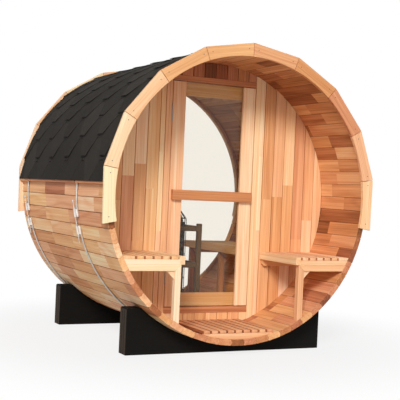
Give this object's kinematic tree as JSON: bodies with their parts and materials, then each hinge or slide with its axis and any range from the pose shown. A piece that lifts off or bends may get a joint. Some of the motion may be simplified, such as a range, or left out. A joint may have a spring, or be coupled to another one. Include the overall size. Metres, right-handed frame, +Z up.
{
  "type": "barrel sauna",
  "caption": "Barrel-shaped stave cabin on two cradles, with an open porch, porch seats, a hinged glazed door, a shingled roof and a round rear window.",
  "frame": {"origin": "ground level at the centre of the footprint", "axes": "+Z up, +Y from the porch to the rear window along the barrel, +X to the right when facing the door"},
  "size_m": [1.9702, 1.83, 2.0083],
  "materials": {
    "cedar_staves": "oiled red cedar, short lengths of mixed tone",
    "cedar_wall": "oiled red cedar, tongued and grooved boards",
    "cedar_frame": "oiled red cedar",
    "cedar_fascia": "oiled pale cedar",
    "cedar_door": "oiled clear cedar",
    "cedar_slats": "planed pale cedar",
    "roof_shingle": "mineral-surfaced black shingle",
    "cradle_timber": "black stained laminated timber",
    "guard_timber": "dark stained timber",
    "hoop_steel": "bare stainless steel",
    "hinge_steel": "bare stainless steel",
    "window_glass": "clear toughened glass",
    "heater_black": "heat-proof black",
    "heater_stone": "dark split stone"
  },
  "bodies": {
    "cabin": {"staves_right": "cedar_staves", "staves_upper_right": "cedar_staves", "staves_crown": "cedar_staves", "staves_upper_left": "cedar_staves", "staves_left": "cedar_staves", "staves_lower_left": "cedar_staves", "staves_floor": "cedar_staves", "staves_lower_right": "cedar_staves", "front_wall_left": "cedar_wall", "front_wall_right": "cedar_wall", "front_wall_over_door": "cedar_wall", "front_wall_under_door": "cedar_wall", "door_jambs": "cedar_frame", "door_frame_rails": "cedar_frame", "rear_window_trim": "cedar_frame", "roof_battens": "cedar_frame", "front_fascia": "cedar_fascia", "rear_fascia": "cedar_fascia", "left_seat_slats": "cedar_slats", "left_seat_frame": "cedar_slats", "right_seat_slats": "cedar_slats", "right_seat_frame": "cedar_slats", "bench_slats": "cedar_slats", "bench_frame": "cedar_slats", "porch_floor_slats": "cedar_slats", "porch_floor_bearers": "cedar_slats", "cabin_floor_slats": "cedar_slats", "cabin_floor_bearers": "cedar_slats", "roof_left_courses": "roof_shingle", "roof_right_courses": "roof_shingle", "front_cradle": "cradle_timber", "rear_cradle": "cradle_timber", "guard_posts": "guard_timber", "guard_rails": "guard_timber", "front_hoop": "hoop_steel", "rear_hoop": "hoop_steel", "hoop_lugs": "hoop_steel", "tension_rods": "hoop_steel", "frame_hinge_leaves": "hinge_steel", "rear_window_glass": "window_glass", "heater_cage": "heater_black", "heater_stones": "heater_stone"},
    "door": {"door_stiles": "cedar_door", "door_back_frame": "cedar_door", "door_handle_board": "cedar_door", "door_glass": "window_glass", "door_hinge_leaves": "hinge_steel"}
  },
  "joints": [
    {"name": "door_hinge", "type": "hinge", "parent": "cabin", "child": "door", "pos_m": [-0.3195, -0.409, 1.0163], "axis": [0, 0, -1], "range_deg": [0, 95]}
  ]
}
